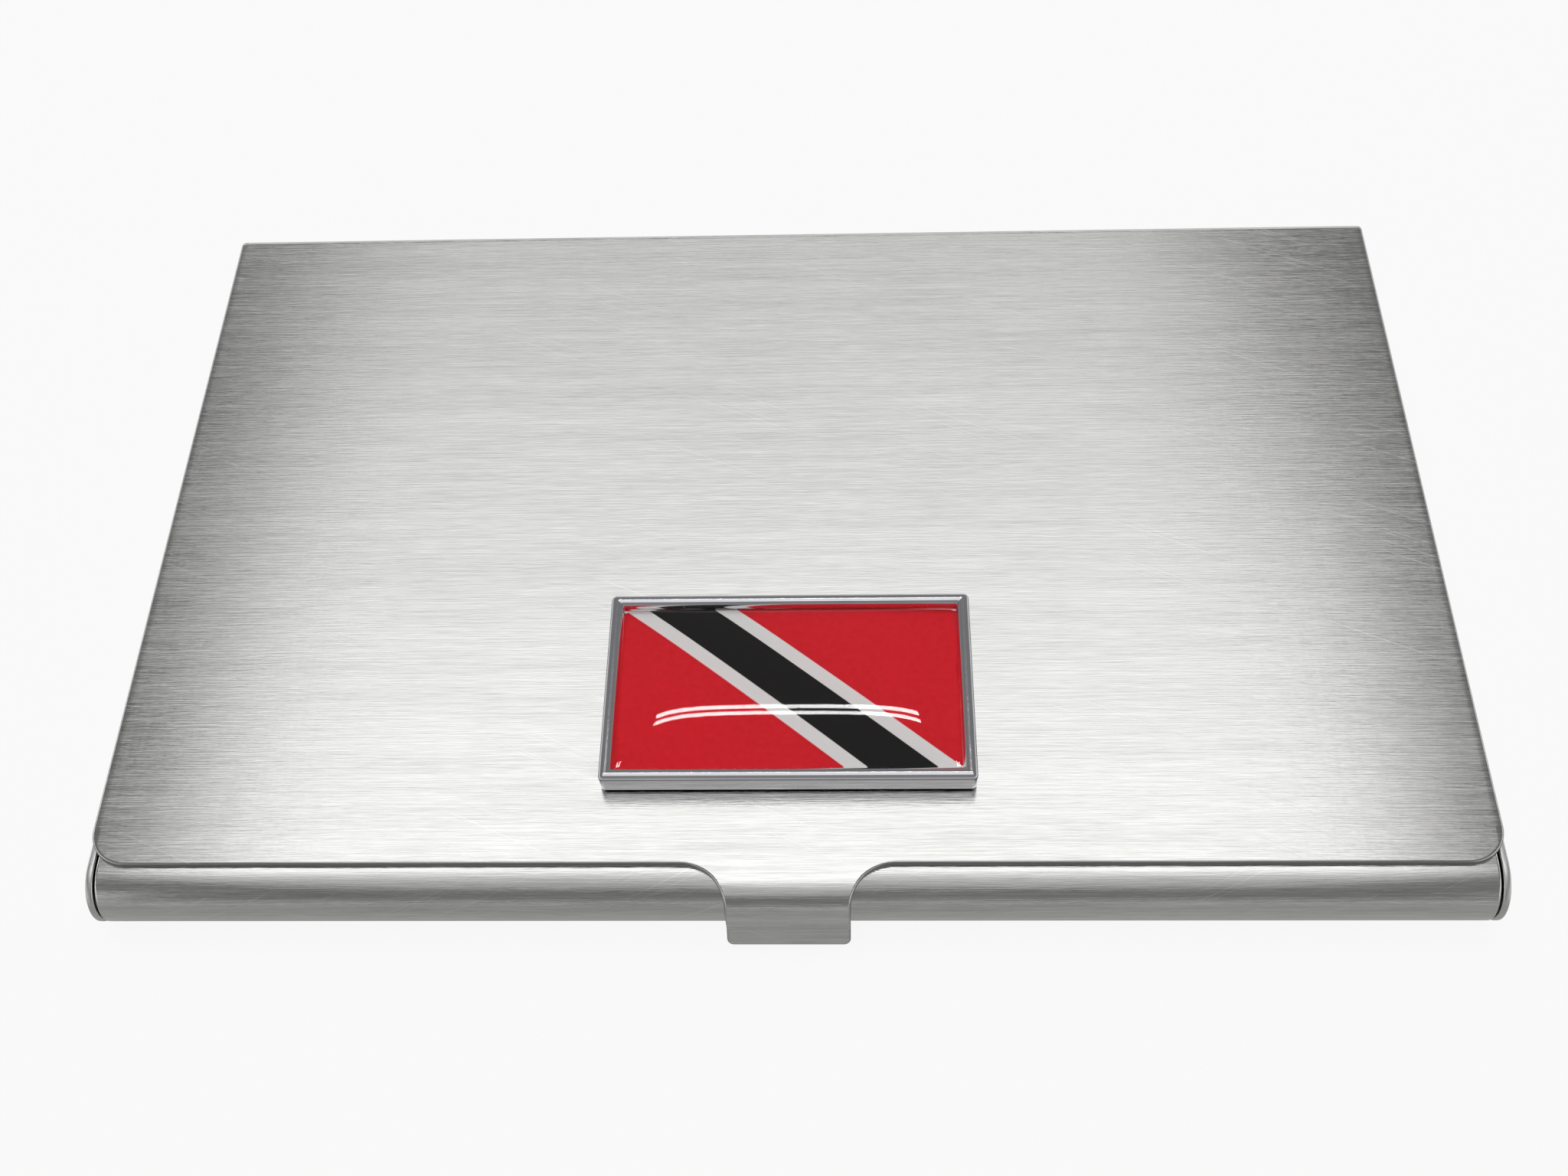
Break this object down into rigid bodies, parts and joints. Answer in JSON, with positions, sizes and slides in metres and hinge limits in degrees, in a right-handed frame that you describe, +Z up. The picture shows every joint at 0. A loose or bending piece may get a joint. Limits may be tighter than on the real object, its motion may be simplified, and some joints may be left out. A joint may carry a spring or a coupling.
{
  "type": "business card case",
  "caption": "Flat brushed-steel business card case with a rear-hinged lid, a thumb tab over a rolled front edge and a domed decorative badge.",
  "frame": {"origin": "under the middle of the closed case, on the plane of its underside", "axes": "+X across the case to the right, +Y to the hinge at the back, +Z up through the lid"},
  "size_m": [0.094, 0.061, 0.0083],
  "materials": {
    "tray_steel": "brushed across the width, satin",
    "lid_steel": "brushed across the width, satin",
    "rivet_steel": "plain drawn steel",
    "adhesive": "matt foam tape",
    "bezel_chrome": "polished plating",
    "badge_print": "printed foil, red with a white-edged black diagonal band",
    "badge_resin": "clear poured resin, glossy"
  },
  "bodies": {
    "tray": {"base_tray": "tray_steel", "hinge_rivet_left": "rivet_steel", "hinge_rivet_right": "rivet_steel"},
    "lid": {"lid_cover": "lid_steel", "badge_adhesive": "adhesive", "badge_bezel": "bezel_chrome", "badge_print": "badge_print", "badge_dome": "badge_resin"}
  },
  "joints": [
    {"name": "lid_hinge", "type": "hinge", "parent": "tray", "child": "lid", "pos_m": [0, 0.02795, 0.003], "axis": [-1, 0, 0], "range_deg": [0, 100]}
  ]
}
